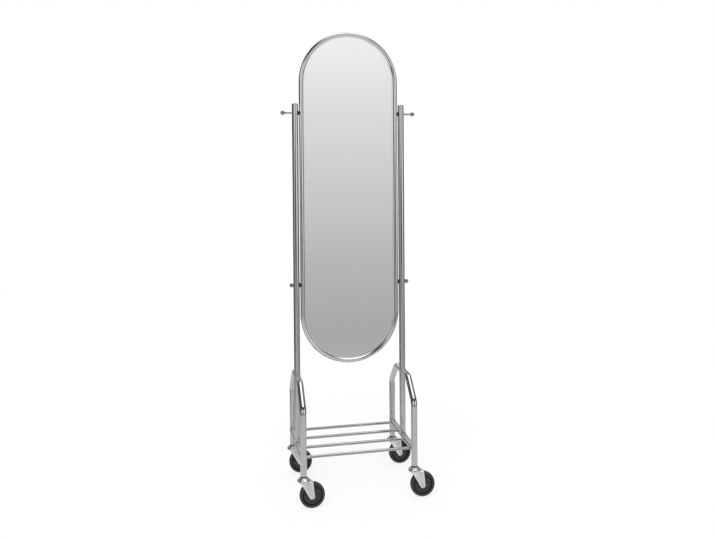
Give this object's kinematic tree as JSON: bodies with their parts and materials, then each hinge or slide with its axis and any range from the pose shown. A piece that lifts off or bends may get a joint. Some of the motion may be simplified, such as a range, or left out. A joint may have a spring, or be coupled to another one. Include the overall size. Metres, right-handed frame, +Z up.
{
  "type": "rolling floor mirror",
  "caption": "Free-standing full-length mirror with round ends, hung between chrome tube posts above a bar shelf, with ball-ended coat hooks, on swivel casters.",
  "frame": {"origin": "on the floor, midway between the four legs", "axes": "+X to the right as seen by someone looking into the mirror, +Y from the front to the back, +Z up; the glass faces -Y"},
  "size_m": [0.5905, 0.406, 1.8899],
  "materials": {
    "chrome_tube": "mirror polished chrome plate",
    "chrome_frame": "mirror polished chrome plate",
    "chrome_knob": "mirror polished chrome plate",
    "mirror_glass": "silvered float glass",
    "board": "plain hardboard",
    "steel_small": "zinc plated",
    "black_plastic": "fine satin",
    "brass": "machined",
    "bearing_steel": "polished, greased",
    "plated_steel": "bright plated pressed steel",
    "axle_steel": "turned, zinc plated",
    "wheel_plastic": "moulded",
    "tyre": "soft grey black rubber"
  },
  "bodies": {
    "frame": {"left_post": "chrome_tube", "right_post": "chrome_tube", "left_post_cap": "chrome_tube", "right_post_cap": "chrome_tube", "left_hoop": "chrome_tube", "right_hoop": "chrome_tube", "left_stay": "chrome_tube", "right_stay": "chrome_tube", "left_cross_tube": "chrome_tube", "right_cross_tube": "chrome_tube", "shelf_bar_1": "chrome_tube", "shelf_bar_2": "chrome_tube", "shelf_bar_3": "chrome_tube", "shelf_bar_4": "chrome_tube", "mirror_frame": "chrome_frame", "mirror_lip": "chrome_frame", "mirror_glass": "mirror_glass", "backing_board": "board", "board_tabs": "steel_small", "board_screws": "steel_small", "spacers": "black_plastic", "insert_nuts": "brass", "left_coat_hook": "chrome_knob", "right_coat_hook": "chrome_knob", "left_clamp_knob": "chrome_knob", "right_clamp_knob": "chrome_knob", "leg_plugs": "black_plastic", "bearing_balls": "bearing_steel", "stem_front_left": "axle_steel", "stem_front_right": "axle_steel", "stem_rear_left": "axle_steel", "stem_rear_right": "axle_steel", "race_cap_front_left": "plated_steel", "race_cap_front_right": "plated_steel", "race_cap_rear_left": "plated_steel", "race_cap_rear_right": "plated_steel"},
    "caster_front_left": {"fork_front_left": "plated_steel", "axle_front_left": "axle_steel", "sleeve_front_left": "axle_steel"},
    "roller_front_left": {"wheel_front_left": "wheel_plastic", "tyre_front_left": "tyre"},
    "caster_front_right": {"fork_front_right": "plated_steel", "axle_front_right": "axle_steel", "sleeve_front_right": "axle_steel"},
    "roller_front_right": {"wheel_front_right": "wheel_plastic", "tyre_front_right": "tyre"},
    "caster_rear_left": {"fork_rear_left": "plated_steel", "axle_rear_left": "axle_steel", "sleeve_rear_left": "axle_steel"},
    "roller_rear_left": {"wheel_rear_left": "wheel_plastic", "tyre_rear_left": "tyre"},
    "caster_rear_right": {"fork_rear_right": "plated_steel", "axle_rear_right": "axle_steel", "sleeve_rear_right": "axle_steel"},
    "roller_rear_right": {"wheel_rear_right": "wheel_plastic", "tyre_rear_right": "tyre"}
  },
  "joints": [
    {"name": "swivel_front_left", "type": "hinge", "parent": "frame", "child": "caster_front_left", "pos_m": [-0.224, -0.178, 0.104], "axis": [0, 0, 1], "continuous": true},
    {"name": "swivel_front_right", "type": "hinge", "parent": "frame", "child": "caster_front_right", "pos_m": [0.224, -0.178, 0.104], "axis": [0, 0, 1], "continuous": true},
    {"name": "swivel_rear_left", "type": "hinge", "parent": "frame", "child": "caster_rear_left", "pos_m": [-0.224, 0.178, 0.104], "axis": [0, 0, 1], "continuous": true},
    {"name": "swivel_rear_right", "type": "hinge", "parent": "frame", "child": "caster_rear_right", "pos_m": [0.224, 0.178, 0.104], "axis": [0, 0, 1], "continuous": true},
    {"name": "roll_front_left", "type": "hinge", "parent": "caster_front_left", "child": "roller_front_left", "pos_m": [-0.191, -0.178, 0.05], "axis": [0, 1, 0], "continuous": true},
    {"name": "roll_front_right", "type": "hinge", "parent": "caster_front_right", "child": "roller_front_right", "pos_m": [0.257, -0.178, 0.05], "axis": [0, 1, 0], "continuous": true},
    {"name": "roll_rear_left", "type": "hinge", "parent": "caster_rear_left", "child": "roller_rear_left", "pos_m": [-0.191, 0.178, 0.05], "axis": [0, 1, 0], "continuous": true},
    {"name": "roll_rear_right", "type": "hinge", "parent": "caster_rear_right", "child": "roller_rear_right", "pos_m": [0.257, 0.178, 0.05], "axis": [0, 1, 0], "continuous": true}
  ]
}
